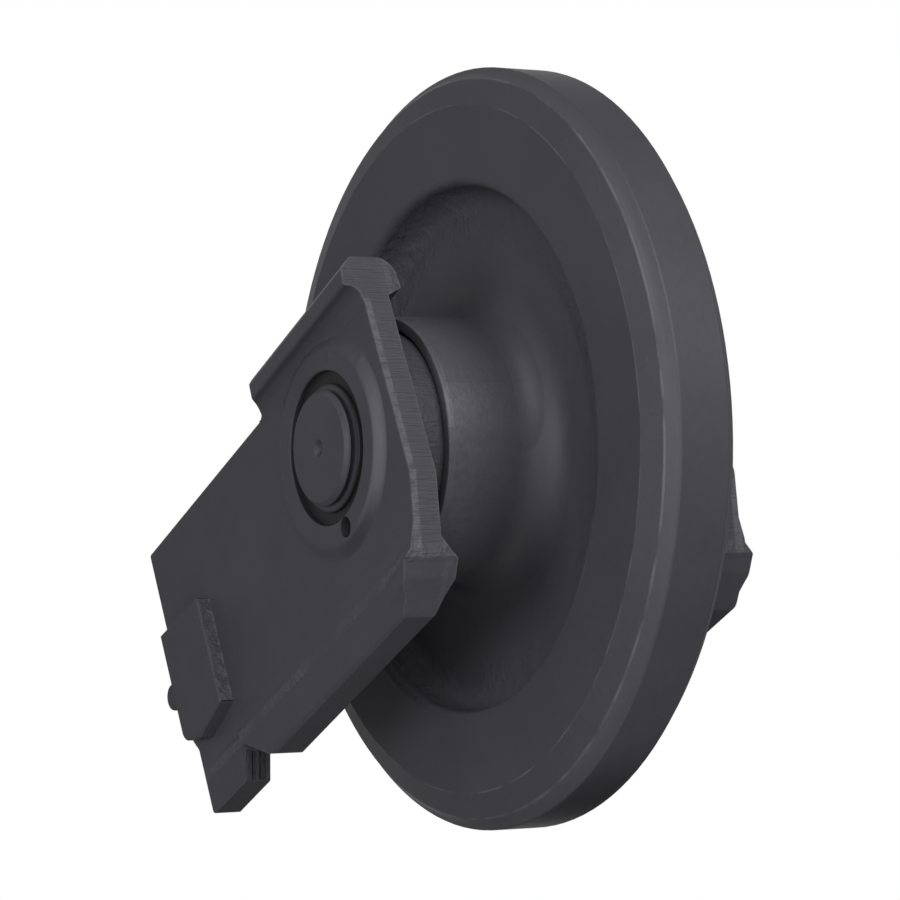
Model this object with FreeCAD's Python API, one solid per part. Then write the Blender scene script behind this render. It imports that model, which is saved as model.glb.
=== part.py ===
import FreeCAD, Part
import math
import os

# Excavator front idler: one forged wheel on a fixed axle, carried by two forged guide brackets.
# The frame is the machine's own: +X to the front along the guide rails, Y along the axle, +Z up.
# The origin is the wheel's centre on the axle line. All lengths are in millimetres.

V = FreeCAD.Vector
AXLE_LINE = V(0, 1, 0)

# Fits and gaps
RUNNING_FIT = 0.05      # radial, bush on axle and bracket on axle
AXIAL_PLAY = 0.3        # bush flange to bracket nose, each side
PLUG_FIT = 0.05         # radial, filler plug and its washer in their hole
TORIC_GAP = 0.5         # between a metal seal ring's lip and its rubber ring

# Wheel rim
TREAD_R = 200.0         # half of the wheel's outside diameter
TREAD_HALF = 14.1       # half of the flat tread
SHOULDER_DROP = 6.2     # from the tread in to the crisp edge of the shoulder
SHOULDER_Y = 20.0
SHOULDER_HOLLOW = 0.35  # how far the shoulder is dished below its own chord
RIM_FACE_Y = 24.7       # flat ring on the wheel's side
RIM_CONE = 13.5         # width of the cone between that ring and the crisp edge
SHOULDER_R = TREAD_R - SHOULDER_DROP
RIM_FACE_R = SHOULDER_R - RIM_CONE

# Wheel disc
DISH_R = 138.5          # mouth of the dished recess
DISH_DRAFT = 3.0
DISH_LIP = 5.0          # roundings of the recess
DISH_FILLET = 14.0
HUB_FILLET = 19.0
WEB_HALF = 6.5          # half of the disc's thickness at its thinnest

# Radii on the axle line, from the axle outward
AXLE_MID_R = 34.0       # journal under the bushes
AXLE_STEP = 2.0         # the ends are smaller, for the brackets
BUSH_WALL = 4.0
BUSH_FLANGE = 6.0
NOSE_WALL = 5.5         # bracket's nose behind the bush
SEAL_CLEARANCE = 2.5    # metal seal ring round the nose
SEAL_WALL = 4.5
SEAL_LIP = 4.0
TORIC_SECTION = 8.0     # rubber ring between the metal ring and its seat
COLLAR_WALL = 5.5       # bracket's seal housing
MOUTH_GAP = 4.5         # dark gap between that housing and the hub
HUB_LIP = 3.9
HUB_DRAFT = 1.6
AXLE_END_R = AXLE_MID_R - AXLE_STEP
BUSH_IN_R = AXLE_MID_R + RUNNING_FIT
BUSH_OUT_R = BUSH_IN_R + BUSH_WALL
NOSE_R = BUSH_IN_R + NOSE_WALL
SEAL_IN_R = NOSE_R + SEAL_CLEARANCE
SEAL_BODY_R = SEAL_IN_R + SEAL_WALL
SEAL_SEAT_R = SEAL_BODY_R + TORIC_SECTION
COLLAR_R = SEAL_SEAT_R + COLLAR_WALL
HUB_MOUTH_R = COLLAR_R + MOUTH_GAP
HUB_END_R = HUB_MOUTH_R + HUB_LIP
HUB_ROOT_R = HUB_END_R + HUB_DRAFT

# Places along the axle line, from the bracket's inner side inward
WEB_IN_Y = 82.0         # inner side of the bracket's plate
WEB_T = 15.0
STEP_DEPTH = 10.0       # axle's shoulder, inside the plate
CAVITY_DEPTH = 12.0     # floor of the seal housing, inside the plate
SEAL_LENGTH = 8.0       # one metal seal ring
SEAL_LIP_T = 3.0
TORIC_WIDTH = 7.0
SEAL_ROOM = 13.0        # from the running faces to either seat's floor
COLLAR_SET = 1.2        # housing's end, outside the running faces
HUB_END_SET = 6.8       # hub's end, outside the running faces
FLANGE_T = 3.0
OIL_SPACE = 6.0         # between the two bushes
WEB_OUT_Y = WEB_IN_Y + WEB_T
AXLE_STEP_Y = WEB_IN_Y - STEP_DEPTH
CAVITY_FLOOR_Y = WEB_IN_Y - CAVITY_DEPTH
SEAL_FACE_Y = CAVITY_FLOOR_Y - SEAL_ROOM
HUB_FLOOR_Y = SEAL_FACE_Y - SEAL_ROOM
COLLAR_END_Y = SEAL_FACE_Y + COLLAR_SET
HUB_END_Y = SEAL_FACE_Y + HUB_END_SET
NOSE_END_Y = HUB_FLOOR_Y + FLANGE_T + AXIAL_PLAY

# Boss round the axle's end
BORE_LAND = 8.0         # floor of the counterbore round the axle
RING_FACE = 11.6        # flat ring outside the counterbore
BOSS_RISE = 3.3         # ring face above the plate
BOSS_FLANK = 6.0
MOUTH_DEPTH = 3.8
BORE_MOUTH_R = AXLE_END_R + BORE_LAND
BOSS_FACE_R = BORE_MOUTH_R + RING_FACE
BOSS_ROOT_R = BOSS_FACE_R + BOSS_FLANK
BOSS_FACE_Y = WEB_OUT_Y + BOSS_RISE
FLOOR_Y = BOSS_FACE_Y - MOUTH_DEPTH

# Axle ends
END_STAND = 4.2         # axle's end above the ring face
GROOVE_WIDTH = 5.0
GROOVE_DEPTH = 7.4
CAP_STEP = 2.0          # end collar, below the bracket's seat
CAP_CHAMFER = 2.1
CENTRE_MOUTH_R = 4.6    # centre drilling in each end
CENTRE_PILOT_R = 2.2
CENTRE_SLOPE = math.tan(math.radians(60))
AXLE_END_Y = BOSS_FACE_Y + END_STAND
GROOVE_OUT_Y = FLOOR_Y + GROOVE_WIDTH
GROOVE_R = AXLE_END_R - GROOVE_DEPTH
CAP_R = AXLE_END_R - CAP_STEP

# Retaining ring, dowel and rubber ring between axle and bracket
RING_WIDTH = 8.8
RING_T = 2.2
RING_GAP = 9.0
DOWEL_R = 4.0
DOWEL_LENGTH = 9.0
DOWEL_CHAMFER = 0.5
O_RING_Y = WEB_IN_Y - 5.2
O_RING_WIDTH = 3.6
O_RING_DEPTH = 2.5
O_RING_ROUND = 1.0

# Filler hole below the axle, in the middle of the ring face
FILLER_R = 5.4
FILLER_Z = -(BORE_MOUTH_R + BOSS_FACE_R) / 2
FILLER_THROAT_R = 4.0
FILLER_STEP_Y = WEB_IN_Y - 2.0
WASHER_T = 1.0
PLUG_LENGTH = 11.0
PLUG_SOCKET = 5.0       # across flats
SOCKET_DEPTH = 5.0

# Bracket plate, outlines in X and Z
FRONT_X = 67.0          # front edge of plate and rails
TOP_Z = 75.0
WEB_TOP_Z = 51.7
REAR_X = -221.8
BASE_Z = -112.0
CORNER_TOP_Z = -50.0    # where the front edge starts to slope back
CORNER_MID = (52.8, -90.5)
CORNER_TIP = (46.0, -98.5)
CORNER_LOW_X = 29.5
BASE_REAR_X = -133.0    # rear end of the lower rail's base
HEEL = (-162.0, -91.0)
TAB_SET = 5.5           # tab's rear side, in front of the rear edge
TAB_WIDTH = 44.0
TAB_BASE_Z = -110.0
REAR_STEP_Z = -62.0     # rear edge steps in to the tab here
REAR_STEP = 9.0
TAB_REAR_X = REAR_X + TAB_SET
TAB_FRONT_X = TAB_REAR_X + TAB_WIDTH

# Top rail: outer lip, inner hook, and a bevelled rear end
RAIL_REAR_X = -62.5
LIP_OUT = 9.2           # lip beyond the plate's outer side
LIP_BASE_Z = 57.5
LIP_ROUND = 5.0
HOOK_IN = 8.4           # hook beyond the plate's inner side
HOOK_TIP_Z = 56.5
HOOK_ROUND = 11.5
UNDERCUT_Z = 52.2
RAIL_FILLET = 6.0
BEVEL_RUN = 14.0        # how far the lip's rear end is bevelled forward

# Lower rail: low step outside, bevelled bulge inside, flared front corner
LOW_OUT = 2.6
LOW_STEP_Z = -84.0
LOW_IN = 7.5
BULGE_TOP_Z = -90.0
BULGE_LOW_Z = -98.0
BULGE_ROOT_Z = -80.5
FLARE_OUT = 4.7
FLARE_IN = 1.5
FLARE_RUN = 36.0
FLARE_TOP_Z = -80.0

# Guide pad on the plate's outer face, and the stop pin at its rear edge
PAD_T = 8.2
PAD_TOP_Z = -0.5
PAD_LOW_Z = -65.5
PAD_LENGTH = 51.5
PAD_HEEL = 32.0         # base slopes down to the rear over this length
PAD_HEEL_DROP = 6.5
PAD_ROUND = 7.0
PAD_CHAMFER = 0.8
PIN_R = 7.5
PIN_PROUD = 6.3         # pin's centre behind the rear edge
PIN_Z = -33.0
PIN_IN_SET = 2.0
PIN_OUT_SET = 3.0
PIN_ROUND = 1.5
PIN_X = REAR_X - PIN_PROUD


# Drawing helpers

def rounded_wire(corners, place):
    """Closed wire through corners (u, v, radius), each corner rounded by its own radius."""
    points = [V(c[0], c[1], 0) for c in corners]
    radii = [c[2] if len(c) > 2 else 0.0 for c in corners]
    cuts = []
    for i, (point, radius) in enumerate(zip(points, radii)):
        back = (points[i - 1] - point).normalize()
        ahead = (points[(i + 1) % len(points)] - point).normalize()
        if radius > 0:
            half = back.getAngle(ahead) / 2
            run = radius / math.tan(half)
            middle = point + (back + ahead).normalize() * (radius / math.sin(half) - radius)
            cuts.append((point + back * run, middle, point + ahead * run))
        else:
            cuts.append((point, None, point))
    edges = []
    for i, (start, middle, end) in enumerate(cuts):
        if middle is not None:
            arc = Part.Arc(place(start.x, start.y), place(middle.x, middle.y), place(end.x, end.y))
            edges.append(arc.toShape())
        following = cuts[(i + 1) % len(cuts)][0]
        if following.distanceToPoint(end) > 1e-6:
            line = Part.LineSegment(place(end.x, end.y), place(following.x, following.y))
            edges.append(line.toShape())
    return Part.Wire(edges)


def turned(corners):
    """Solid of revolution about the axle line from (radius, y, rounding) corners."""
    face = Part.Face(rounded_wire(corners, lambda u, v: V(u, v, 0)))
    return face.revolve(V(0, 0, 0), AXLE_LINE, 360)


def plate(corners, y_from, y_to):
    """Outline in X and Z, given thickness along Y."""
    face = Part.Face(rounded_wire(corners, lambda u, v: V(u, y_from, v)))
    return face.extrude(V(0, y_to - y_from, 0))


def bar(corners, x_from, x_to):
    """Section in Y and Z, run along X."""
    face = Part.Face(rounded_wire(corners, lambda u, v: V(x_from, u, v)))
    return face.extrude(V(x_to - x_from, 0, 0))


def rod(radius, y_from, y_to, x=0.0, z=0.0):
    return Part.makeCylinder(radius, y_to - y_from, V(x, y_from, z), AXLE_LINE)


def both_halves(half):
    """Turned profile that is the same on each side of the wheel's middle."""
    return half + [(corner[0], -corner[1]) + corner[2:] for corner in reversed(half)]


def other_side(shape):
    return shape.mirror(V(0, 0, 0), AXLE_LINE)


def end_rims(shape):
    """Full circles at the two ends of a rod."""
    return [edge for edge in shape.Edges if len(edge.Vertexes) == 1]


# Wheel

def shoulder_hollow():
    """Corner that dishes the shoulder between the crisp edge and the tread."""
    start = V(SHOULDER_R, SHOULDER_Y, 0)
    end = V(TREAD_R, TREAD_HALF, 0)
    run = end - start
    inward = V(run.y, -run.x, 0).normalize()
    middle = (start + end) * 0.5 + inward * (2 * SHOULDER_HOLLOW)
    return middle.x, middle.y


def idler_wheel():
    hollow_r, hollow_y = shoulder_hollow()
    return turned(both_halves([
        (BUSH_OUT_R, HUB_FLOOR_Y, 0.0),
        (SEAL_SEAT_R, HUB_FLOOR_Y, 0.0),
        (SEAL_SEAT_R, SEAL_FACE_Y, 0.0),
        (HUB_MOUTH_R, SEAL_FACE_Y, 0.0),
        (HUB_MOUTH_R, HUB_END_Y, 0.0),
        (HUB_END_R, HUB_END_Y, 1.0),
        (HUB_ROOT_R, WEB_HALF, HUB_FILLET),
        (DISH_R - DISH_DRAFT, WEB_HALF, DISH_FILLET),
        (DISH_R, RIM_FACE_Y, DISH_LIP),
        (RIM_FACE_R, RIM_FACE_Y, 1.5),
        (SHOULDER_R, SHOULDER_Y, 0.4),
        (hollow_r, hollow_y, 8.0),
        (TREAD_R, TREAD_HALF, 1.5),
    ]))


# Axle and what sits on it

def axle():
    o_low = O_RING_Y - O_RING_WIDTH / 2
    o_high = O_RING_Y + O_RING_WIDTH / 2
    o_floor = AXLE_END_R - O_RING_DEPTH
    cone_depth = (CENTRE_MOUTH_R - CENTRE_PILOT_R) * CENTRE_SLOPE
    pilot_end = AXLE_END_Y - 2 * cone_depth
    shape = turned(both_halves([
        (AXLE_MID_R, AXLE_STEP_Y, 0.8),
        (AXLE_END_R, AXLE_STEP_Y),
        (AXLE_END_R, o_low),
        (o_floor, o_low),
        (o_floor, o_high),
        (AXLE_END_R, o_high),
        (AXLE_END_R, FLOOR_Y),
        (GROOVE_R, FLOOR_Y),
        (GROOVE_R, GROOVE_OUT_Y),
        (CAP_R, GROOVE_OUT_Y),
        (CAP_R, AXLE_END_Y - CAP_CHAMFER, 0.8),
        (CAP_R - CAP_CHAMFER, AXLE_END_Y, 0.8),
        (CENTRE_MOUTH_R, AXLE_END_Y),
        (CENTRE_PILOT_R, AXLE_END_Y - cone_depth),
        (CENTRE_PILOT_R, pilot_end),
        (0.0, pilot_end),
    ]))
    seat = dowel_seat()
    return shape.cut([seat, other_side(seat)])


def dowel_seat():
    """Round seat on the joint between axle and bracket, half in each."""
    return rod(DOWEL_R, FLOOR_Y - DOWEL_LENGTH, FLOOR_Y, -AXLE_END_R)


def lock_dowels():
    """A dowel in each bracket keeps the axle from turning."""
    dowel = dowel_seat()
    dowel = dowel.makeChamfer(DOWEL_CHAMFER, end_rims(dowel))
    return Part.makeCompound([dowel, other_side(dowel)])


def retaining_ring():
    """Split ring in the axle's groove, seated on the counterbore's floor, its gap to the rear."""
    ring = turned([
        (GROOVE_R, FLOOR_Y),
        (GROOVE_R + RING_WIDTH, FLOOR_Y),
        (GROOVE_R + RING_WIDTH, FLOOR_Y + RING_T, 0.4),
        (GROOVE_R, FLOOR_Y + RING_T),
    ])
    reach = 2 * (GROOVE_R + RING_WIDTH)
    return ring.cut(Part.makeBox(reach, RING_T, RING_GAP, V(-reach, FLOOR_Y, -RING_GAP / 2)))


def shaft_seal():
    """Rubber ring squeezed between the axle's groove and the bracket's bore."""
    inner = AXLE_END_R - O_RING_DEPTH
    outer = AXLE_END_R + RUNNING_FIT
    low = O_RING_Y - O_RING_WIDTH / 2
    high = O_RING_Y + O_RING_WIDTH / 2
    corners = ((inner, low), (outer, low), (outer, high), (inner, high))
    return turned([corner + (O_RING_ROUND,) for corner in corners])


def bush():
    flange_end = HUB_FLOOR_Y + FLANGE_T
    return turned([
        (BUSH_IN_R, OIL_SPACE / 2, 0.8),
        (BUSH_OUT_R, OIL_SPACE / 2, 0.8),
        (BUSH_OUT_R, HUB_FLOOR_Y),
        (BUSH_OUT_R + BUSH_FLANGE, HUB_FLOOR_Y),
        (BUSH_OUT_R + BUSH_FLANGE, flange_end, 0.6),
        (BUSH_IN_R, flange_end, 0.8),
    ])


# Floating seals: two metal rings face to face, each carried by a rubber ring

def seal_ring(direction):
    """Metal ring: direction 1 lies outside the running face, -1 inside it."""
    lip = SEAL_FACE_Y + direction * SEAL_LIP_T
    end = SEAL_FACE_Y + direction * SEAL_LENGTH
    return turned([
        (SEAL_IN_R, SEAL_FACE_Y),
        (SEAL_BODY_R + SEAL_LIP, SEAL_FACE_Y),
        (SEAL_BODY_R + SEAL_LIP, lip),
        (SEAL_BODY_R, lip),
        (SEAL_BODY_R, end, 0.8),
        (SEAL_IN_R, end),
    ])


def toric_ring(direction):
    """Rubber ring squeezed flat between the metal ring's back and its seat."""
    near = SEAL_FACE_Y + direction * (SEAL_LIP_T + TORIC_GAP)
    far = near + direction * TORIC_WIDTH
    corners = ((SEAL_BODY_R, near), (SEAL_SEAT_R, near), (SEAL_SEAT_R, far), (SEAL_BODY_R, far))
    return turned([corner + (0.4 * TORIC_WIDTH,) for corner in corners])


# Bracket: drawn on the left side, then mirrored

def side_outline():
    """Outline of the whole forging seen along the axle."""
    return [
        (FRONT_X, TOP_Z, 1.0),
        (FRONT_X, CORNER_TOP_Z, 8.0),
        CORNER_MID + (2.5,),
        CORNER_TIP + (7.0,),
        (CORNER_LOW_X, BASE_Z, 1.5),
        (BASE_REAR_X, BASE_Z, 14.0),
        HEEL + (5.0,),
        (TAB_FRONT_X, TAB_BASE_Z, 1.5),
        (TAB_REAR_X, TAB_BASE_Z, 3.0),
        (TAB_REAR_X, REAR_STEP_Z - REAR_STEP, 3.0),
        (REAR_X, REAR_STEP_Z, 5.0),
        (REAR_X, WEB_TOP_Z + 1.0, 1.5),
        (RAIL_REAR_X + 4.5, WEB_TOP_Z, 5.5),
        (RAIL_REAR_X, TOP_Z - 10.0, 9.0),
        (RAIL_REAR_X, TOP_Z, 1.5),
    ]


def main_plate():
    """Plate between the rails, a little larger than the outline that trims it."""
    return plate([
        (FRONT_X + 1, TOP_Z - 6),
        (FRONT_X + 1, BASE_Z),
        (REAR_X - 1, BASE_Z),
        (REAR_X - 1, WEB_TOP_Z + 2),
        (RAIL_REAR_X - 1, WEB_TOP_Z + 2),
        (RAIL_REAR_X - 1, TOP_Z - 6),
    ], WEB_IN_Y, WEB_OUT_Y)


def top_rail():
    """Mushroom head: a lip on the outside and a hook on the inside, bevelled at its rear end."""
    lip_y = WEB_OUT_Y + LIP_OUT
    hook_y = WEB_IN_Y - HOOK_IN
    head = bar([
        (WEB_IN_Y + 2, WEB_TOP_Z - 8),
        (WEB_OUT_Y - 2, WEB_TOP_Z - 8),
        (WEB_OUT_Y, WEB_TOP_Z - 4, 8.0),
        (WEB_OUT_Y + 2.2, LIP_BASE_Z - 0.8, RAIL_FILLET),
        (lip_y + 0.8, LIP_BASE_Z, 1.2),
        (lip_y - 0.4, TOP_Z - 8, LIP_ROUND),
        (WEB_OUT_Y + 1.6, TOP_Z, LIP_ROUND),
        (hook_y + 1, TOP_Z, HOOK_ROUND),
        (hook_y, HOOK_TIP_Z, 0.8),
        (WEB_IN_Y, UNDERCUT_Z, 1.5),
        (WEB_IN_Y, WEB_TOP_Z - 5),
    ], RAIL_REAR_X - 1, FRONT_X + 1)
    bevel = Part.makePolygon([
        V(RAIL_REAR_X - 2, WEB_OUT_Y - 4, LIP_BASE_Z - 6),
        V(RAIL_REAR_X + BEVEL_RUN, lip_y + 2, LIP_BASE_Z - 6),
        V(RAIL_REAR_X - 2, lip_y + 2, LIP_BASE_Z - 6),
        V(RAIL_REAR_X - 2, WEB_OUT_Y - 4, LIP_BASE_Z - 6),
    ])
    return head.cut(Part.Face(bevel).extrude(V(0, 0, TOP_Z)))


def lower_rail():
    """Foot of the plate: a low step outside and a bevelled bulge inside."""
    low_y = WEB_OUT_Y + LOW_OUT
    bulge_y = WEB_IN_Y - LOW_IN
    return bar([
        (WEB_IN_Y + 2, LOW_STEP_Z + 16),
        (WEB_OUT_Y - 2, LOW_STEP_Z + 16),
        (WEB_OUT_Y, LOW_STEP_Z + 11, 12.0),
        (low_y, LOW_STEP_Z, 10.0),
        (low_y, BASE_Z, 2.5),
        (WEB_IN_Y - 1, BASE_Z, 2.0),
        (bulge_y, BULGE_LOW_Z, 5.0),
        (bulge_y, BULGE_TOP_Z, 4.0),
        (WEB_IN_Y, BULGE_ROOT_Z, 4.0),
    ], HEEL[0] - 1, FRONT_X)


def flare_section(x, out_y, in_y):
    middle = (BULGE_TOP_Z + BULGE_LOW_Z) / 2
    return rounded_wire([
        (WEB_IN_Y + 2, FLARE_TOP_Z),
        (WEB_OUT_Y - 2, FLARE_TOP_Z),
        (out_y, middle + 3),
        (out_y, middle - 6),
        (WEB_OUT_Y, BASE_Z),
        (WEB_IN_Y, BASE_Z),
        (in_y, BULGE_LOW_Z - 1),
        (in_y, BULGE_TOP_Z - 1),
    ], lambda u, v: V(x, u, v))


def front_flare():
    """The rail's front corner spreads sideways like a struck edge: a loft of two sections."""
    low_y = WEB_OUT_Y + LOW_OUT
    bulge_y = WEB_IN_Y - LOW_IN
    front = CORNER_MID[0]
    start = flare_section(front - FLARE_RUN, low_y - 0.6, bulge_y + 0.6)
    end = flare_section(front + 2, low_y + FLARE_OUT, bulge_y - FLARE_IN)
    return Part.makeLoft([start, end], True, True)


def boss_and_collar():
    """Turned part of the bracket: outer ring, seal housing, and the nose behind the bush."""
    core_r = AXLE_END_R + 2
    return turned([
        (core_r, NOSE_END_Y),
        (NOSE_R, NOSE_END_Y),
        (NOSE_R, CAVITY_FLOOR_Y),
        (SEAL_SEAT_R, CAVITY_FLOOR_Y),
        (SEAL_SEAT_R, COLLAR_END_Y),
        (COLLAR_R, COLLAR_END_Y, 1.5),
        (COLLAR_R + 2.5, WEB_IN_Y + 0.5),
        (BOSS_ROOT_R + 4, WEB_IN_Y + 1),
        (BOSS_ROOT_R + 4, WEB_OUT_Y - 0.4),
        (BOSS_ROOT_R, WEB_OUT_Y + 0.2, 6.0),
        (BOSS_FACE_R, BOSS_FACE_Y, 5.0),
        (BORE_MOUTH_R, BOSS_FACE_Y, 0.8),
        (BORE_MOUTH_R, FLOOR_Y),
        (core_r, FLOOR_Y),
    ])


def filler_hole():
    wide = rod(FILLER_R, FILLER_STEP_Y, BOSS_FACE_Y + 1, 0, FILLER_Z)
    throat = rod(FILLER_THROAT_R, CAVITY_FLOOR_Y - 1, FILLER_STEP_Y, 0, FILLER_Z)
    return wide.fuse(throat)


def bracket():
    body = main_plate().fuse([top_rail(), lower_rail(), front_flare()])
    body = body.common(plate(side_outline(), WEB_IN_Y - 2 * LOW_IN, WEB_OUT_Y + 2 * LIP_OUT))
    body = body.fuse(boss_and_collar()).removeSplitter()
    return body.cut([
        rod(BUSH_IN_R, NOSE_END_Y - 1, AXLE_STEP_Y),
        rod(AXLE_END_R + RUNNING_FIT, AXLE_STEP_Y, BOSS_FACE_Y + 1),
        rod(BORE_MOUTH_R, FLOOR_Y, BOSS_FACE_Y - 1),
        dowel_seat(),
        filler_hole(),
        rod(PIN_R, WEB_IN_Y - PIN_IN_SET, WEB_OUT_Y + PIN_OUT_SET, PIN_X, PIN_Z),
    ])


def filler_plug():
    start = FILLER_STEP_Y + WASHER_T
    end = start + PLUG_LENGTH
    body = rod(FILLER_R - PLUG_FIT, start, end, 0, FILLER_Z)
    corner_r = PLUG_SOCKET / math.sqrt(3)
    turns = [math.radians(60 * i) for i in range(7)]
    hexagon = [V(corner_r * math.cos(a), end, FILLER_Z + corner_r * math.sin(a)) for a in turns]
    socket = Part.Face(Part.makePolygon(hexagon)).extrude(V(0, -SOCKET_DEPTH, 0))
    return body.cut(socket)


def filler_washer():
    end = FILLER_STEP_Y + WASHER_T
    outer = rod(FILLER_R - PLUG_FIT, FILLER_STEP_Y, end, 0, FILLER_Z)
    return outer.cut(rod(FILLER_THROAT_R, FILLER_STEP_Y, end, 0, FILLER_Z))


def guide_pad():
    """Block on the plate's outer face, its base drawn down to a blunt point."""
    rear = TAB_REAR_X
    front = rear + PAD_LENGTH
    block = plate([
        (rear, PAD_TOP_Z, 1.0),
        (front, PAD_TOP_Z - 2, 1.0),
        (front, PAD_LOW_Z, 2.0),
        (front - PAD_HEEL, PAD_LOW_Z - PAD_HEEL_DROP, 2.5),
        (rear, PAD_LOW_Z, PAD_ROUND),
    ], WEB_OUT_Y, WEB_OUT_Y + PAD_T)
    outer_y = WEB_OUT_Y + PAD_T
    rim = [e for e in block.Edges if all(abs(v.Y - outer_y) < 1e-6 for v in e.Vertexes)]
    return block.makeChamfer(PAD_CHAMFER, rim)


def stop_pin():
    pin = rod(PIN_R, WEB_IN_Y - PIN_IN_SET, WEB_OUT_Y + PIN_OUT_SET, PIN_X, PIN_Z)
    return pin.makeFillet(PIN_ROUND, end_rims(pin))


# Nodes: the near side in the photo is the right side, at -Y

def both_sides(name, shape):
    return {name + "_left": shape, name + "_right": other_side(shape)}


def nodes():
    made = {"idler_wheel": idler_wheel(), "axle": axle(), "lock_dowels": lock_dowels()}
    made.update(both_sides("bush", bush()))
    made.update(both_sides("seal_ring_hub", seal_ring(-1)))
    made.update(both_sides("seal_ring_bracket", seal_ring(1)))
    made.update(both_sides("toric_hub", toric_ring(-1)))
    made.update(both_sides("toric_bracket", toric_ring(1)))
    made.update(both_sides("shaft_seal", shaft_seal()))
    made.update(both_sides("retaining_ring", retaining_ring()))
    made.update(both_sides("bracket", bracket()))
    made.update(both_sides("filler_plug", filler_plug()))
    made.update(both_sides("filler_washer", filler_washer()))
    made.update(both_sides("guide_pad", guide_pad()))
    made.update(both_sides("stop_pin", stop_pin()))
    return made


os.makedirs("parts", exist_ok=True)
for node, shape in nodes().items():
    print(node, "solids", len(shape.Solids), "valid", shape.isValid())
    shape.exportStep("parts/" + node + ".step")
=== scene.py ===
import math

import bpy
from mathutils import Matrix, Vector


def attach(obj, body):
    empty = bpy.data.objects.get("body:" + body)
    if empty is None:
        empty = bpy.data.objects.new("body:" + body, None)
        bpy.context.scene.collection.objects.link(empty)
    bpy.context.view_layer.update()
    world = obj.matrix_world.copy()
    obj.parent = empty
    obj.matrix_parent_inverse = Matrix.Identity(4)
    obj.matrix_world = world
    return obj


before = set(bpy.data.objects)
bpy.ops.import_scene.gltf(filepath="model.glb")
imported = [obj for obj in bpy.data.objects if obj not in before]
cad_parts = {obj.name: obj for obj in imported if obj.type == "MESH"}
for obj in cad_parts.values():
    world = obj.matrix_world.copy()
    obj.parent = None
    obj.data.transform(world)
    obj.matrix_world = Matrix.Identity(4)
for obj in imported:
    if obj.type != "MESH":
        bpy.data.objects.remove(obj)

# The photograph's camera, in the row frame: a long lens below and in front of the right bracket
CAMERA_PLACE = Vector((1.391859, -0.939693, -0.773183))
CAMERA_RIGHT = Vector((0.43659, 0.86746, -0.23854))
CAMERA_UP = Vector((0.4838, -0.00285, 0.87517))
CAMERA_BACK = Vector((0.7585, -0.4975, -0.42092))
LENS = 140.0
SENSOR = 36.0

# Paint colours, linear
PAINT = (0.0525, 0.0520, 0.0615)
# Pale paint, for worn places and for painted highlights
PAINT_WORN_AND_LIT = (0.110, 0.111, 0.122)
# Dark, for painted shade
PAINTED_SHADE = (0.014, 0.014, 0.016)
PAINT_SPECULAR = 0.5
PAINT_DARKEST = 0.88
PAINT_PALEST = 1.22
GLOSSIER = 0.06
DULLER = 0.08
TURNED_ROUGH = 0.50
FORGED_ROUGH = 0.54
HUB_RUB = 0.12    # how much smoother the rubbed hub is

# Zones of the wheel, in metres: radius from the axle line (R) or distance from the wheel's middle (Y).
# A zone of two numbers that runs backward fades out instead of in.
FORGED_R = (0.078, 0.137)
SCALED_R = (0.114, 0.137)
HUB_R = (0.060, 0.074)
HUB_Y = (0.024, 0.034)
# Painted highlight: paler towards the hub's outer end
HUB_HIGHLIGHT_Y = (0.030, 0.058)
# Painted highlight on the shoulder band, which faces the light
SHOULDER_R = (0.1945, 0.1990)
# Painted highlights: thin pale lines along the rim's and shoulder's edges
RIM_EDGE_R = (0.1799, 0.1806)
SHOULDER_EDGE_R = (0.1934, 0.1942)
SCRATCHED_R = (0.184, 0.197)
# Painted shade in the hub's mouth and on the lip's end face
HUB_MOUTH_R = (0.0653, 0.0648)
HUB_MOUTH_Y = (0.0640, 0.0632)
LIP_MOUTH_R = (0.0630, 0.0626)
LIP_FACE_R = (0.0678, 0.0670)
LIP_FACE_Y = (0.0645, 0.0655)

# Zones of the bracket, in metres: X and Z as in the frame, Y from the wheel's middle
SHEARED_X = (0.0, 0.02)
TORN_X = (-0.12, -0.14)
# Painted shade: dark lines in the gaps on the torn side
TORN_LINES_Y = ((0.0905, 0.0925), (0.0845, 0.0880))
STREAK_Z = (-0.0905, -0.0860)
BURR_X = (0.03, 0.05)
# Painted highlight on the boss's flank
BOSS_FLANK_R = (0.0510, 0.0590)
BOSS_FLANK_REACH = (0.030, 0.052)
# Painted shade under the boss
BOSS_UNDER_R = (0.0535, 0.0585)
BOSS_UNDER_X = (-0.020, 0.006)
BOSS_UNDER_Z = (-0.040, -0.052)
BOSS_SKIN_Y = (0.096, 0.097)
WEB_BURR_X = (0.030, 0.034)
WEB_BURR_Y = (0.0938, 0.0978)
WEB_BURR_Z = (0.052, 0.046)
WEB_SKIN_Y = (0.0955, 0.0978)
LIP_BURR_X = (0.044, 0.050)
LIP_BURR_Y = (0.1030, 0.1046)
LIP_BURR_Z = (0.0, -0.02)
# Painted shade in the counterbore, behind the hub and inside the filler hole
COUNTERBORE_R = (0.0404, 0.0398)
COUNTERBORE_Y = (0.1000, 0.0990)
BEHIND_HUB_Y = (0.0652, 0.0640)
COLLAR_Y = (0.081, 0.078)
FILLER_HOLE = (0.0, -0.0458)     # x and z
FILLER_HOLE_R = 0.0056
DRIPS = ((0.0508, 0.024), (0.0245, 0.0405), (-0.0120, 0.0600))   # x and z on the plate
DRIP_R = 0.0030

# Zones of the pad and the axle's end, in metres
# Painted highlight along the pad's front borders
PAD_OUTER_Y = (0.1034, 0.1044)
PAD_INNER_Y = (0.0986, 0.0978)
# Painted shade in the axle's groove
AXLE_GROOVE_R = (0.0315, 0.0330)
AXLE_GROOVE_Y = (0.1000, 0.0992)

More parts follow.
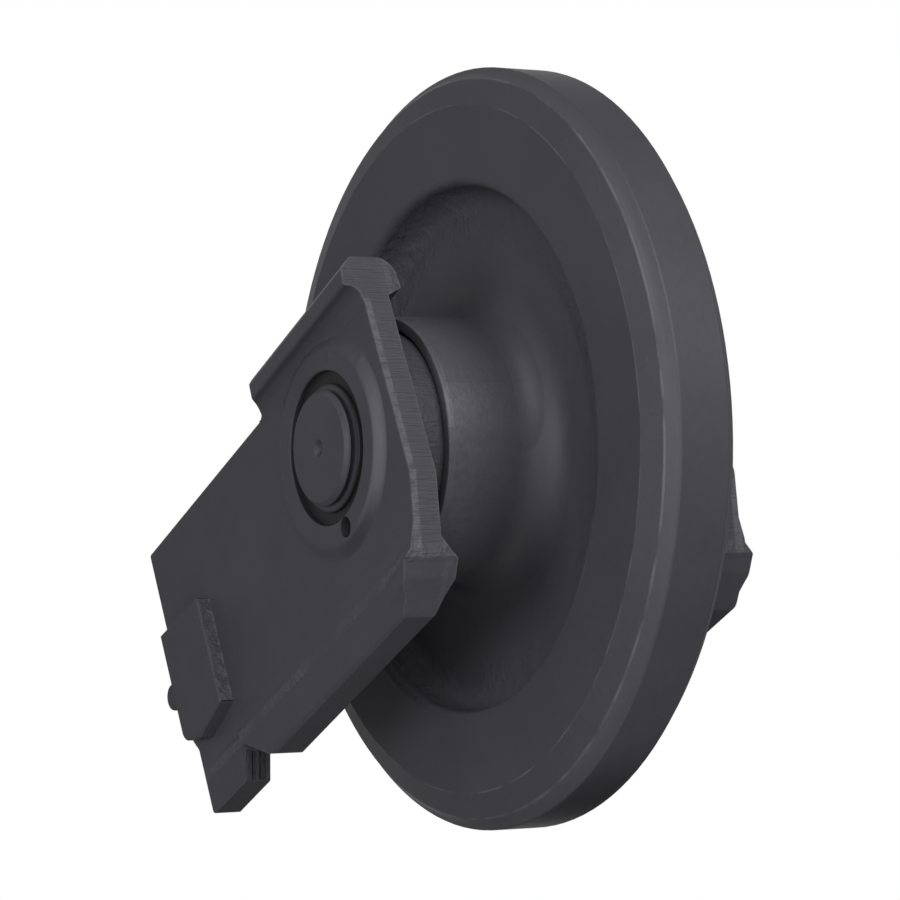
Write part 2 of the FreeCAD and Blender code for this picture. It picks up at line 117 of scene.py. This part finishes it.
# Turned lip on the hub's end: radius and distance from the wheel's middle, in metres
HUB_LIP = ((0.0624, 0.0622), (0.0683, 0.0622), (0.0683, 0.0653), (0.0681, 0.0658), (0.0676, 0.0660),
           (0.0629, 0.0660), (0.0625, 0.0658), (0.0624, 0.0654))
LIP_STEPS = 192
LIP_SHARP = math.radians(50)

# Studio: lamp directions are (right, up, back) as the camera sees them, powers in watts
LAMP_DISTANCE = 3.0
LAMP_SIZE = 1.6
LAMPS = {
    "key": ((0.75, 0.8, 1.0), 36.0),
    "top": ((0.0, 1.0, 1.0), 24.0),
    "left": ((-1.0, 0.0, 1.0), 31.0),
    "front": ((0.0, 0.0, 1.0), 23.0),
    "low": ((0.0, -1.0, 0.15), 12.0),
}
ROOM_LEVEL = 0.25
BACKDROP_EDGE = 0.80
BACKDROP_MIDDLE = 0.95
FLOOR_COLOUR = (0.82, 0.82, 0.82)
FLOOR_GLOW = 0.45
FLOOR_SIZE = 12.0
FLOOR_Z = -0.2006


# Shader helpers

def start_material(name):
    """A new material with one Principled shader."""
    material = bpy.data.materials.new(name)
    material.use_nodes = True
    tree = material.node_tree
    tree.nodes.clear()
    output = tree.nodes.new("ShaderNodeOutputMaterial")
    shader = tree.nodes.new("ShaderNodeBsdfPrincipled")
    tree.links.new(shader.outputs["BSDF"], output.inputs["Surface"])
    return material, tree, shader


def place_vector(tree, stretch=(1.0, 1.0, 1.0)):
    """Object coordinates, which stay with the piece, times a stretch."""
    coord = tree.nodes.new("ShaderNodeTexCoord")
    mapping = tree.nodes.new("ShaderNodeMapping")
    mapping.inputs["Scale"].default_value = stretch
    tree.links.new(coord.outputs["Object"], mapping.inputs["Vector"])
    return mapping.outputs["Vector"]


def noise(tree, vector, scale, detail=4.0, roughness=0.55):
    """Noise from 0 to 1, with so many waves to the metre."""
    node = tree.nodes.new("ShaderNodeTexNoise")
    node.inputs["Scale"].default_value = scale
    node.inputs["Detail"].default_value = detail
    node.inputs["Roughness"].default_value = roughness
    tree.links.new(vector, node.inputs["Vector"])
    return node.outputs["Fac"]


def ramp(tree, value, low, high):
    """Value from 0 at low to 1 at high."""
    node = tree.nodes.new("ShaderNodeMapRange")
    node.inputs["From Min"].default_value = low
    node.inputs["From Max"].default_value = high
    tree.links.new(value, node.inputs["Value"])
    return node.outputs["Result"]


def maths(tree, kind, a, b):
    """A Math node on sockets or numbers, kept between 0 and 1."""
    node = tree.nodes.new("ShaderNodeMath")
    node.operation = kind
    node.use_clamp = True
    for socket, value in zip(node.inputs, (a, b)):
        if isinstance(value, float):
            socket.default_value = value
        else:
            tree.links.new(value, socket)
    return node.outputs["Value"]


def loose_maths(tree, kind, a, b):
    """A sum, product or difference that isn't kept between 0 and 1."""
    value = maths(tree, kind, a, b)
    value.node.use_clamp = False
    return value


def both(tree, *masks):
    """1 only where every mask is 1: their product, so a number among them weakens the rest."""
    result = masks[0]
    for mask in masks[1:]:
        result = maths(tree, "MULTIPLY", result, mask)
    return result


def either(tree, *masks):
    """The strongest of the masks."""
    result = masks[0]
    for mask in masks[1:]:
        result = maths(tree, "MAXIMUM", result, mask)
    return result


def mix_colour(tree, factor, a, b):
    """Colour a where the factor is 0, b where it is 1."""
    node = tree.nodes.new("ShaderNodeMix")
    node.data_type = "RGBA"
    for socket, value in ((node.inputs[0], factor), (node.inputs[6], a), (node.inputs[7], b)):
        if isinstance(value, tuple):
            socket.default_value = value + (1.0,)
        elif isinstance(value, float):
            socket.default_value = value
        else:
            tree.links.new(value, socket)
    return node.outputs[2]


def relief(tree, shader, *layers):
    """Bump layers of (height, strength, distance in metres), each on the one before it."""
    base = None
    for height, strength, distance in layers:
        node = tree.nodes.new("ShaderNodeBump")
        node.inputs["Strength"].default_value = strength
        node.inputs["Distance"].default_value = distance
        tree.links.new(height, node.inputs["Height"])
        if base is not None:
            tree.links.new(base, node.inputs["Normal"])
        base = node.outputs["Normal"]
    tree.links.new(base, shader.inputs["Normal"])


def edge_wear(tree, radius):
    """1 where the surface turns a sharp corner, 0 on open faces."""
    bevel = tree.nodes.new("ShaderNodeBevel")
    bevel.samples = 6
    bevel.inputs["Radius"].default_value = radius
    geometry = tree.nodes.new("ShaderNodeNewGeometry")
    dot = tree.nodes.new("ShaderNodeVectorMath")
    dot.operation = "DOT_PRODUCT"
    tree.links.new(bevel.outputs["Normal"], dot.inputs[0])
    tree.links.new(geometry.outputs["Normal"], dot.inputs[1])
    node = tree.nodes.new("ShaderNodeMapRange")
    node.inputs["From Min"].default_value = 0.995
    node.inputs["From Max"].default_value = 0.90
    tree.links.new(dot.outputs["Value"], node.inputs["Value"])
    return node.outputs["Result"]


def object_axes(tree):
    """Separate X, Y and Z of the object coordinates, in metres."""
    coord = tree.nodes.new("ShaderNodeTexCoord")
    split = tree.nodes.new("ShaderNodeSeparateXYZ")
    tree.links.new(coord.outputs["Object"], split.inputs["Vector"])
    return split.outputs["X"], split.outputs["Y"], split.outputs["Z"]


def facing_front(tree):
    """1 on faces that look to the machine's front, 0 on the others."""
    coord = tree.nodes.new("ShaderNodeTexCoord")
    split = tree.nodes.new("ShaderNodeSeparateXYZ")
    tree.links.new(coord.outputs["Normal"], split.inputs["Vector"])
    return ramp(tree, split.outputs["X"], 0.75, 0.95)


def radius_and_width(tree):
    """Distance from the axle line and distance from the wheel's middle, in metres."""
    x, y, z = object_axes(tree)
    flat = tree.nodes.new("ShaderNodeCombineXYZ")
    tree.links.new(x, flat.inputs["X"])
    tree.links.new(z, flat.inputs["Z"])
    length = tree.nodes.new("ShaderNodeVectorMath")
    length.operation = "LENGTH"
    tree.links.new(flat.outputs["Vector"], length.inputs[0])
    return length.outputs["Value"], loose_maths(tree, "ABSOLUTE", y, 0.0)


def window(tree, value, low, high, blend):
    """1 between low and high, falling to 0 over blend on each side."""
    rise = ramp(tree, value, low - blend, low)
    fall = ramp(tree, value, high + blend, high)
    return maths(tree, "MULTIPLY", rise, fall)


def turned_rings(tree, radius, width, scale):
    """Fine rings round the axle line, as a lathe leaves them."""
    rings = tree.nodes.new("ShaderNodeCombineXYZ")
    tree.links.new(radius, rings.inputs["X"])
    tree.links.new(width, rings.inputs["Y"])
    return noise(tree, rings.outputs["Vector"], scale, 2.0)


def paint_shader(tree, shader, wear_and_highlight, broad, rough, painted_shade=None):
    """Colours the blue-grey paint, with tints, mottle, pale worn places and painted highlights, and painted
    shade in gaps and recesses, and gives its roughness.
    """
    fine = noise(tree, place_vector(tree), 240.0, 6.0, 0.7)
    slow_half = both(tree, ramp(tree, broad, 0.3, 0.7), 0.5)
    fine_half = both(tree, ramp(tree, fine, 0.25, 0.75), 0.5)
    mottle = loose_maths(tree, "ADD", slow_half, fine_half)
    dark = tuple(c * PAINT_DARKEST for c in PAINT)
    pale = tuple(c * PAINT_PALEST for c in PAINT)
    tint = mix_colour(tree, wear_and_highlight, mix_colour(tree, mottle, dark, pale), PAINT_WORN_AND_LIT)
    if painted_shade is not None:
        tint = mix_colour(tree, painted_shade, tint, PAINTED_SHADE)
    tree.links.new(tint, shader.inputs["Base Color"])
    shader.inputs["Specular IOR Level"].default_value = PAINT_SPECULAR
    gloss = tree.nodes.new("ShaderNodeMapRange")
    gloss.inputs["To Min"].default_value = rough - GLOSSIER
    gloss.inputs["To Max"].default_value = rough + DULLER
    tree.links.new(fine, gloss.inputs["Value"])
    return gloss.outputs["Result"]


# Wheel

def wheel_wear_and_highlights(tree, vector, radius, width, broad, hub):
    """Worn edges and scratched shoulder of the wheel, with painted highlights on the hub's outer half, on the
    shoulder band and in lines along the rim's and shoulder's edges.
    """
    edges = both(tree, edge_wear(tree, 0.0009), ramp(tree, broad, 0.35, 0.6), 0.75)
    # Painted highlight on the shoulder band
    shoulder_highlight = both(tree, window(tree, radius, *SHOULDER_R, 0.0006), 0.16)
    # Painted highlight on the hub's outer half
    hub_highlight = both(tree, hub, noise(tree, vector, 260.0, 5.0), ramp(tree, width, *HUB_HIGHLIGHT_Y))
    # Painted highlights along the rim's and shoulder's edges
    rim_edge_highlight = window(tree, radius, *RIM_EDGE_R, 0.0002)
    shoulder_edge_highlight = window(tree, radius, *SHOULDER_EDGE_R, 0.0003)
    broken = ramp(tree, noise(tree, vector, 45.0, 5.0), 0.42, 0.62)
    highlight_and_shade_lines = both(tree, either(tree, rim_edge_highlight, shoulder_edge_highlight), broken)
    nicks = ramp(tree, noise(tree, vector, 420.0, 4.0), 0.66, 0.74)
    scratched = both(tree, window(tree, radius, *SCRATCHED_R, 0.002), nicks, 0.45)
    return either(tree, edges, shoulder_highlight, hub_highlight, highlight_and_shade_lines, scratched)


def hub_mouth_shade(tree, radius, width):
    """Painted shade inside the hub's mouth, and a little on the lip's end face."""
    mouth = both(tree, ramp(tree, radius, *HUB_MOUTH_R), ramp(tree, width, *HUB_MOUTH_Y))
    lip_mouth = ramp(tree, radius, *LIP_MOUTH_R)
    lip_face = both(tree, ramp(tree, radius, *LIP_FACE_R), ramp(tree, width, *LIP_FACE_Y), 0.40)
    return either(tree, mouth, lip_mouth, lip_face)


def wheel_paint():
    """Paint over a wheel turned on its rim and hub and left as forged in the dish."""
    material, tree, shader = start_material("wheel_paint")
    vector = place_vector(tree)
    radius, width = radius_and_width(tree)
    broad = noise(tree, vector, 16.0, 5.0)
    forged = window(tree, radius, *FORGED_R, 0.006)
    scaled = both(tree, window(tree, radius, *SCALED_R, 0.006), ramp(tree, broad, 0.42, 0.58))
    hub = both(tree, window(tree, radius, *HUB_R, 0.002), ramp(tree, width, *HUB_Y))
    wear_and_highlight = wheel_wear_and_highlights(tree, vector, radius, width, broad, hub)
    rough = paint_shader(tree, shader, wear_and_highlight, broad, TURNED_ROUGH, hub_mouth_shade(tree, radius, width))
    rough = maths(tree, "SUBTRACT", rough, both(tree, hub, HUB_RUB))
    tree.links.new(rough, shader.inputs["Roughness"])
    turned = maths(tree, "SUBTRACT", 1.0, forged)
    relief(
        tree, shader,
        (both(tree, turned_rings(tree, radius, width, 1400.0), turned), 0.10, 0.0002),
        (noise(tree, vector, 600.0, 4.0), 0.20, 0.0004),
        (both(tree, noise(tree, vector, 70.0, 5.0), forged), 0.18, 0.0015),
        (both(tree, noise(tree, vector, 380.0, 5.0), hub), 0.35, 0.0006),
        (both(tree, noise(tree, vector, 150.0, 5.0), scaled), 0.9, 0.0022),
    )
    return material


# Bracket, pad and axle

def blob_height(tree, places, size):
    """1 at the given (x, z) places on the plate, falling to 0 at the size: round drips, or a hole."""
    x, _, z = object_axes(tree)
    total = None
    for place_x, place_z in places:
        offset = tree.nodes.new("ShaderNodeCombineXYZ")
        tree.links.new(loose_maths(tree, "SUBTRACT", x, place_x), offset.inputs["X"])
        tree.links.new(loose_maths(tree, "SUBTRACT", z, place_z), offset.inputs["Z"])
        length = tree.nodes.new("ShaderNodeVectorMath")
        length.operation = "LENGTH"
        tree.links.new(offset.outputs["Vector"], length.inputs[0])
        one = ramp(tree, length.outputs["Value"], size, 0.0)
        total = one if total is None else maths(tree, "MAXIMUM", total, one)
    return total


def boss_flank_highlight(tree, x, z, radius, width):
    """Painted highlight on the boss's slanted edge, on its front and lower side, where the light falls."""
    toward_front = loose_maths(
        tree, "ADD", loose_maths(tree, "MULTIPLY", x, 0.88), loose_maths(tree, "MULTIPLY", z, -0.48))
    flank = window(tree, radius, *BOSS_FLANK_R, 0.0008)
    return both(tree, flank, ramp(tree, width, *BOSS_SKIN_Y), ramp(tree, toward_front, *BOSS_FLANK_REACH))


def boss_underside_shade(tree, x, z, radius, width):
    """Painted shade line under the boss."""
    under = both(tree, ramp(tree, z, *BOSS_UNDER_Z), window(tree, radius, *BOSS_UNDER_R, 0.0012))
    return both(tree, under, ramp(tree, width, *BOSS_SKIN_Y), ramp(tree, x, *BOSS_UNDER_X))


def front_burr(tree, vector, x, z, width, front):
    """The burr along the outer edge of the sheared front end, on the web and on the lower lip."""
    web_x = ramp(tree, x, *WEB_BURR_X)
    web = both(tree, window(tree, width, *WEB_BURR_Y, 0.0008), ramp(tree, z, *WEB_BURR_Z), web_x, front)
    skin = both(tree, window(tree, width, *WEB_SKIN_Y, 0.0006), edge_wear(tree, 0.0030), web_x)
    lip = both(tree, ramp(tree, width, *LIP_BURR_Y), ramp(tree, x, *LIP_BURR_X))
    lip = both(tree, lip, ramp(tree, edge_wear(tree, 0.0040), 0.05, 0.35), ramp(tree, z, *LIP_BURR_Z))
    broken = ramp(tree, noise(tree, vector, 220.0, 5.0), 0.30, 0.55)
    return both(tree, either(tree, web, skin, lip), broken)


def bracket_paint():
    """Paint over a rough forging: sheared front faces, torn tab side, burred edges."""
    material, tree, shader = start_material("bracket_paint")
    vector = place_vector(tree)
    x, _, z = object_axes(tree)
    radius, width = radius_and_width(tree)
    broad = noise(tree, vector, 26.0, 5.0)
    front = facing_front(tree)
    sheared = both(tree, front, ramp(tree, x, *SHEARED_X))
    torn = both(tree, front, ramp(tree, x, *TORN_X))
    # Lines on the torn side, painted dark as shade and cut in as grooves
    first_line, second_line = (window(tree, width, *line, 0.0006) for line in TORN_LINES_Y)
    torn_lines = both(tree, either(tree, first_line, second_line), torn)
    streak = both(tree, window(tree, z, *STREAK_Z, 0.002), noise(tree, vector, 420.0, 5.0))
    streak = both(tree, streak, ramp(tree, broad, 0.4, 0.6))

    edges = both(tree, edge_wear(tree, 0.0014), ramp(tree, noise(tree, vector, 300.0, 4.0), 0.25, 0.6))
    edges = both(tree, edges, either(tree, ramp(tree, x, *BURR_X), 0.45))
    # Painted highlight on the boss's flank, carried as pale paint
    flank = both(tree, boss_flank_highlight(tree, x, z, radius, width), 0.85)
    burr = front_burr(tree, vector, x, z, width, front)
    wear_and_highlight = either(tree, edges, burr, both(tree, streak, 0.8), flank)

    # Painted shade: counterbore, the part behind the hub, the filler hole, the torn side's gaps and under the
    # boss
    counterbore = both(tree, ramp(tree, radius, *COUNTERBORE_R), ramp(tree, width, *COUNTERBORE_Y))
    hole = ramp(tree, blob_height(tree, (FILLER_HOLE,), FILLER_HOLE_R), 0.01, 0.05)
    highlight_and_shade_lines = both(tree, either(tree, torn_lines, boss_underside_shade(tree, x, z, radius, width)), 0.55)
    painted_shade = either(tree, counterbore, ramp(tree, width, *BEHIND_HUB_Y), hole, highlight_and_shade_lines)
    rough = paint_shader(tree, shader, wear_and_highlight, broad, FORGED_ROUGH, painted_shade)
    tree.links.new(rough, shader.inputs["Roughness"])

    shear = noise(tree, place_vector(tree, (1.0, 0.06, 1.0)), 850.0, 2.0)
    tear = noise(tree, place_vector(tree, (1.0, 1.0, 0.07)), 260.0, 3.0)
    relief(
        tree, shader,
        (noise(tree, vector, 60.0, 6.0), 0.28, 0.0012),
        (both(tree, noise(tree, vector, 260.0, 5.0), ramp(tree, width, *COLLAR_Y)), 0.6, 0.0012),
        (noise(tree, vector, 800.0, 4.0), 0.30, 0.0004),
        (both(tree, shear, sheared), 0.75, 0.0008),
        (both(tree, tear, torn), 0.9, 0.0025),
        (maths(tree, "SUBTRACT", 1.0, torn_lines), 0.8, 0.0015),
        (streak, 0.9, 0.0020),
        (blob_height(tree, DRIPS, DRIP_R), 0.6, 0.0012),
    )
    return material


def pad_paint():
    """Paint over the pad: plain outer face, rough welded front side with a painted highlight, brighter along
    its borders and edges.
    """
    material, tree, shader = start_material("pad_paint")
    vector = place_vector(tree)
    broad = noise(tree, vector, 30.0, 5.0)
    front = facing_front(tree)
    bead = noise(tree, place_vector(tree, (1.0, 0.5, 1.0)), 260.0, 5.0)
    _, width = radius_and_width(tree)
    borders = either(tree, ramp(tree, width, *PAD_OUTER_Y), ramp(tree, width, *PAD_INNER_Y))
    edges = both(tree, edge_wear(tree, 0.0016), front)
    # Painted highlight on the front side, its borders and edges
    wear_and_highlight = either(tree, edges, both(tree, front, 0.35), both(tree, borders, front))
    wear_and_highlight = both(tree, wear_and_highlight, ramp(tree, bead, 0.2, 0.6))
    rough = paint_shader(tree, shader, wear_and_highlight, broad, FORGED_ROUGH)
    tree.links.new(rough, shader.inputs["Roughness"])
    relief(
        tree, shader,
        (noise(tree, vector, 700.0, 4.0), 0.30, 0.0005),
        (both(tree, bead, front), 1.0, 0.0030),
    )
    return material


def end_paint():
    """Paint over a turned steel end: fine rings, a paler rim and painted shade in the groove."""
    material, tree, shader = start_material("axle_paint")
    vector = place_vector(tree)
    radius, width = radius_and_width(tree)
    broad = noise(tree, vector, 30.0, 4.0)
    wear_and_highlight = both(tree, edge_wear(tree, 0.0008), 0.6)
    # Painted shade in the groove
    groove_shade = both(tree, ramp(tree, radius, *AXLE_GROOVE_R), ramp(tree, width, *AXLE_GROOVE_Y))
    rough = paint_shader(tree, shader, wear_and_highlight, broad, TURNED_ROUGH, groove_shade)
    tree.links.new(rough, shader.inputs["Roughness"])
    relief(
        tree, shader,
        (turned_rings(tree, radius, width, 1600.0), 0.10, 0.0002),
        (noise(tree, vector, 800.0, 3.0), 0.10, 0.0003),
    )
    return material


# Pieces inside

def bare_metal(name, colour, rough):
    """Turned metal with a fine grain round the axle line."""
    material, tree, shader = start_material(name)
    grain = noise(tree, place_vector(tree, (1.0, 6.0, 1.0)), 400.0, 3.0)
    tint = mix_colour(tree, grain, tuple(c * 0.8 for c in colour), colour)
    tree.links.new(tint, shader.inputs["Base Color"])
    shader.inputs["Metallic"].default_value = 1.0
    shader.inputs["Roughness"].default_value = rough
    relief(tree, shader, (grain, 0.15, 0.0002))
    return material


def black_rubber_and_shade():
    """Black with a fine grain, for the rubber rings, and as painted shade on the filler plugs deep in their
    holes.
    """
    material, tree, shader = start_material("rubber_and_painted_shade")
    grain = noise(tree, place_vector(tree), 500.0)
    tint = mix_colour(tree, grain, (0.012, 0.012, 0.012), (0.022, 0.022, 0.022))
    tree.links.new(tint, shader.inputs["Base Color"])
    shader.inputs["Roughness"].default_value = 0.6
    relief(tree, shader, (grain, 0.2, 0.0003))
    return material


# Dressing and the lips

def dress(materials):
    """Gives each CAD node the material listed for its name."""
    for name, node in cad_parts.items():
        stem = name.rsplit("_", 1)[0] if name.endswith(("_left", "_right")) else name
        node.data.materials.clear()
        node.data.materials.append(materials[stem])
        for polygon in node.data.polygons:
            polygon.material_index = 0


def hub_lip(name, side, material):
    """Turned lip on one end of the hub, which narrows the gap round the bracket's collar."""
    verts, faces = [], []
    count = len(HUB_LIP)
    for step in range(LIP_STEPS):
        angle = 2.0 * math.pi * step / LIP_STEPS
        verts += [(r * math.cos(angle), side * w, r * math.sin(angle)) for r, w in HUB_LIP]
    for step in range(LIP_STEPS):
        here, there = step * count, (step + 1) % LIP_STEPS * count
        for i in range(count):
            j = (i + 1) % count
            faces.append((here + i, here + j, there + j, there + i)[::side])
    mesh = bpy.data.meshes.new(name)
    mesh.from_pydata(verts, [], faces)
    mesh.polygons.foreach_set("use_smooth", [True] * len(faces))
    mesh.set_sharp_from_angle(angle=LIP_SHARP)
    mesh.materials.append(material)
    piece = bpy.data.objects.new(name, mesh)
    bpy.context.scene.collection.objects.link(piece)
    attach(piece, "wheel")


# Studio

def from_camera(right, up, back):
    """A place given along the camera's own directions from the wheel's centre."""
    return CAMERA_RIGHT * right + CAMERA_UP * up + CAMERA_BACK * back


def soft_lamp(name, direction, power):
    """Large round lamp that looks at the wheel's centre from a direction (right, up, back)."""
    data = bpy.data.lights.new(name, "AREA")
    data.shape = "DISK"
    data.size = LAMP_SIZE
    data.energy = power
    lamp = bpy.data.objects.new(name, data)
    bpy.context.scene.collection.objects.link(lamp)
    lamp.location = from_camera(*direction).normalized() * LAMP_DISTANCE
    lamp.rotation_mode = "QUATERNION"
    lamp.rotation_quaternion = (-lamp.location).to_track_quat("-Z", "Y")
    return lamp


def white_world():
    """White where the camera looks past the object. Gloss sees a white backdrop behind it in a dim room."""
    world = bpy.data.worlds.new("studio")
    bpy.context.scene.world = world
    world.use_nodes = True
    tree = world.node_tree
    tree.nodes.clear()
    output = tree.nodes.new("ShaderNodeOutputWorld")
    background = tree.nodes.new("ShaderNodeBackground")
    background.inputs["Color"].default_value = (1.0, 1.0, 1.0, 1.0)
    coord = tree.nodes.new("ShaderNodeTexCoord")
    toward = tree.nodes.new("ShaderNodeVectorMath")
    toward.operation = "DOT_PRODUCT"
    toward.inputs[1].default_value = -CAMERA_BACK
    tree.links.new(coord.outputs["Generated"], toward.inputs[0])
    backdrop = tree.nodes.new("ShaderNodeMapRange")
    backdrop.inputs["From Min"].default_value = BACKDROP_EDGE
    backdrop.inputs["From Max"].default_value = BACKDROP_MIDDLE
    backdrop.inputs["To Min"].default_value = ROOM_LEVEL
    tree.links.new(toward.outputs["Value"], backdrop.inputs["Value"])
    rays = tree.nodes.new("ShaderNodeLightPath")
    gloss = maths(tree, "MULTIPLY", backdrop.outputs["Result"], rays.outputs["Is Glossy Ray"])
    seen = maths(tree, "MAXIMUM", rays.outputs["Is Camera Ray"], rays.outputs["Is Transmission Ray"])
    tree.links.new(maths(tree, "MAXIMUM", seen, gloss), background.inputs["Strength"])
    tree.links.new(background.outputs["Background"], output.inputs["Surface"])


def one_sided_floor():
    """Pale floor under the wheel, seen and felt only from above, so that it never hides the object."""
    bpy.ops.mesh.primitive_plane_add(size=FLOOR_SIZE, location=(0, 0, FLOOR_Z))
    floor = bpy.context.object
    floor.name = "floor"
    material, tree, shader = start_material("floor_white")
    grain = noise(tree, place_vector(tree), 3.0)
    tint = mix_colour(tree, grain, FLOOR_COLOUR, tuple(c * 1.03 for c in FLOOR_COLOUR))
    tree.links.new(tint, shader.inputs["Base Color"])
    shader.inputs["Roughness"].default_value = 0.9
    output = next(n for n in tree.nodes if n.type == "OUTPUT_MATERIAL")
    clear = tree.nodes.new("ShaderNodeBsdfTransparent")
    geometry = tree.nodes.new("ShaderNodeNewGeometry")
    rays = tree.nodes.new("ShaderNodeLightPath")
    shader.inputs["Emission Color"].default_value = (1.0, 1.0, 1.0, 1.0)
    glow = maths(tree, "MULTIPLY", rays.outputs["Is Camera Ray"], FLOOR_GLOW)
    tree.links.new(glow, shader.inputs["Emission Strength"])
    mix = tree.nodes.new("ShaderNodeMixShader")
    open_side = maths(tree, "MAXIMUM", geometry.outputs["Backfacing"], rays.outputs["Is Shadow Ray"])
    tree.links.new(open_side, mix.inputs["Fac"])
    tree.links.new(shader.outputs["BSDF"], mix.inputs[1])
    tree.links.new(clear.outputs["BSDF"], mix.inputs[2])
    tree.links.new(mix.outputs["Shader"], output.inputs["Surface"])
    floor.data.materials.append(material)


def camera():
    """The photograph's camera."""
    data = bpy.data.cameras.new("camera")
    data.lens = LENS
    data.sensor_width = SENSOR
    data.clip_start = 0.05
    data.clip_end = 50.0
    obj = bpy.data.objects.new("camera", data)
    bpy.context.scene.collection.objects.link(obj)
    turn = Matrix((CAMERA_RIGHT, CAMERA_UP, CAMERA_BACK)).transposed().to_4x4()
    obj.matrix_world = Matrix.Translation(CAMERA_PLACE) @ turn
    bpy.context.scene.camera = obj


def main():
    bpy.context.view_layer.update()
    forged = bracket_paint()
    turned_end = end_paint()
    wheel = wheel_paint()
    steel = bare_metal("dowel_steel", (0.32, 0.32, 0.33), 0.4)
    iron = bare_metal("seal_iron", (0.26, 0.26, 0.27), 0.3)
    dress({
        "idler_wheel": wheel, "axle": turned_end, "lock_dowels": steel,
        "bush": bare_metal("bronze", (0.55, 0.36, 0.17), 0.35),
        "seal_ring_hub": iron, "seal_ring_bracket": iron,
        "toric_hub": black_rubber_and_shade(), "toric_bracket": black_rubber_and_shade(), "shaft_seal": black_rubber_and_shade(),
        # The filler plugs get the black: painted shade deep in their holes
        "retaining_ring": turned_end, "bracket": forged, "filler_plug": black_rubber_and_shade(),
        "filler_washer": bare_metal("copper", (0.6, 0.33, 0.2), 0.4),
        "guide_pad": pad_paint(), "stop_pin": forged,
    })
    hub_lip("hub_lip_left", 1, wheel)
    hub_lip("hub_lip_right", -1, wheel)
    camera()
    white_world()
    one_sided_floor()
    for name, (direction, power) in LAMPS.items():
        soft_lamp(name, direction, power)
    bpy.context.scene.view_settings.view_transform = "Standard"


main()
